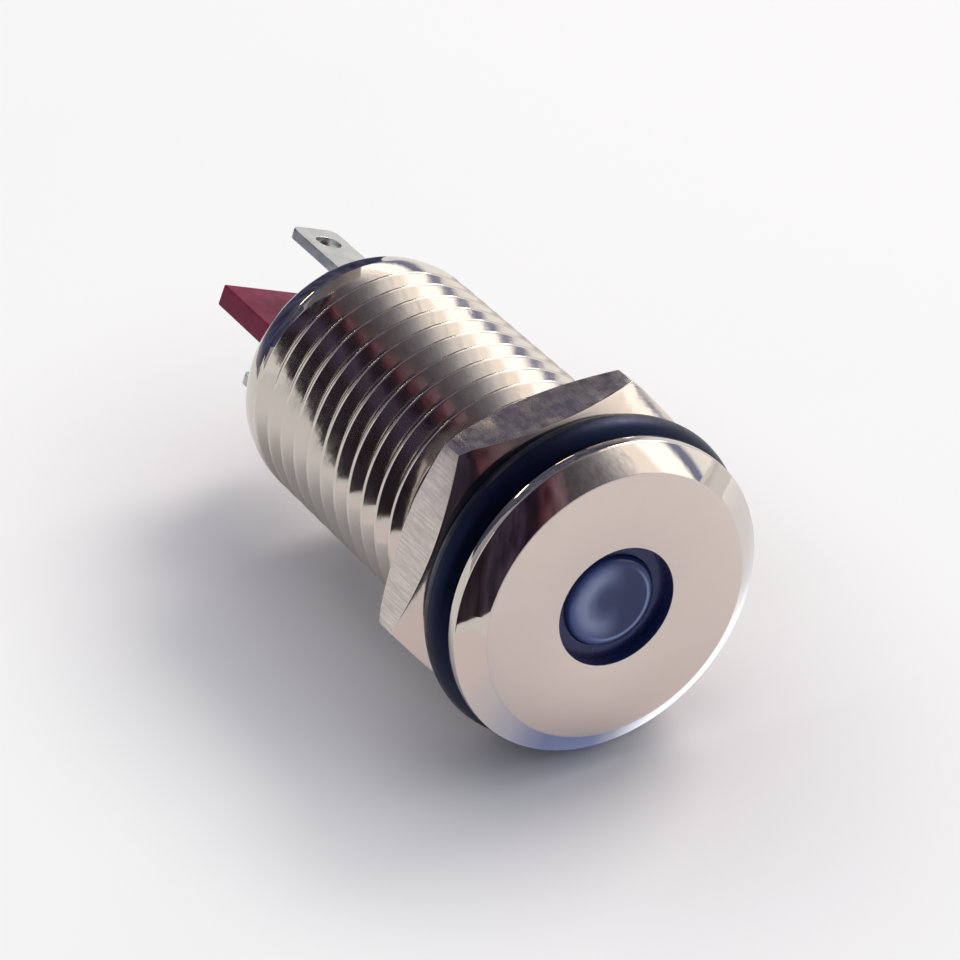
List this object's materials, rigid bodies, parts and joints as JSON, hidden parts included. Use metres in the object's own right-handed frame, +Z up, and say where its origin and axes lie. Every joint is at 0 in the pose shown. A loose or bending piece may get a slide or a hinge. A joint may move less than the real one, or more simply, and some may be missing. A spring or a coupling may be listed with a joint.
{
  "type": "panel pilot light",
  "caption": "Round metal pilot light for a panel hole: bevelled head with a small recessed lens, threaded barrel, sealing ring, hex nut, solder lugs and a rear barrier.",
  "frame": {"origin": "on the barrel's axis, in the plane of the head's seat, which is the front of the panel hole", "axes": "+Y along the barrel to the rear, -Y out of the lens, +Z up as the light lies, +X to the right seen from the front; the upper solder lug is turned 21.7 degrees from +Z towards +X"},
  "size_m": [0.0138, 0.0245, 0.0128],
  "materials": {
    "nickel_plate": "bright nickel plate over turned brass",
    "nut_plate": "nickel plate over brass, with tool marks on the flats",
    "black_rubber": "smooth moulded rubber",
    "gasket_rubber": "plain rubber sheet",
    "clear_lens": "clear moulded polycarbonate",
    "clear_epoxy": "clear cast epoxy",
    "black_nylon": "moulded nylon",
    "chip_face": "polished crystal",
    "lead_metal": "tinned steel",
    "sleeve_film": "polyester film",
    "board_laminate": "solder mask on glass and epoxy laminate",
    "resistor_body": "glazed ceramic",
    "diode_body": "moulded epoxy",
    "solder": "bright solder",
    "tin_plate": "bright tin plate over brass sheet",
    "red_plastic": "moulded polyester",
    "dark_resin": "cast epoxy"
  },
  "bodies": {
    "lamp": {"housing": "nickel_plate", "sealing_ring": "black_rubber", "lens": "clear_lens", "lens_gasket": "gasket_rubber", "led_holder": "black_nylon", "led_body": "clear_epoxy", "led_chip": "chip_face", "anode_lead": "lead_metal", "cathode_lead": "lead_metal", "insulating_sleeve": "sleeve_film", "circuit_board": "board_laminate", "series_resistor": "resistor_body", "blocking_diode": "diode_body", "chip_solder": "solder", "lead_solder": "solder", "lug_solder": "solder", "positive_lug": "tin_plate", "negative_lug": "tin_plate", "terminal_base": "red_plastic", "sealing_resin": "dark_resin"},
    "nut": {"mounting_nut": "nut_plate"}
  },
  "joints": [
    {"name": "nut_travel", "type": "slide", "parent": "lamp", "child": "nut", "axis": [0, 1, 0], "range_m": [0, 0.0144]}
  ]
}
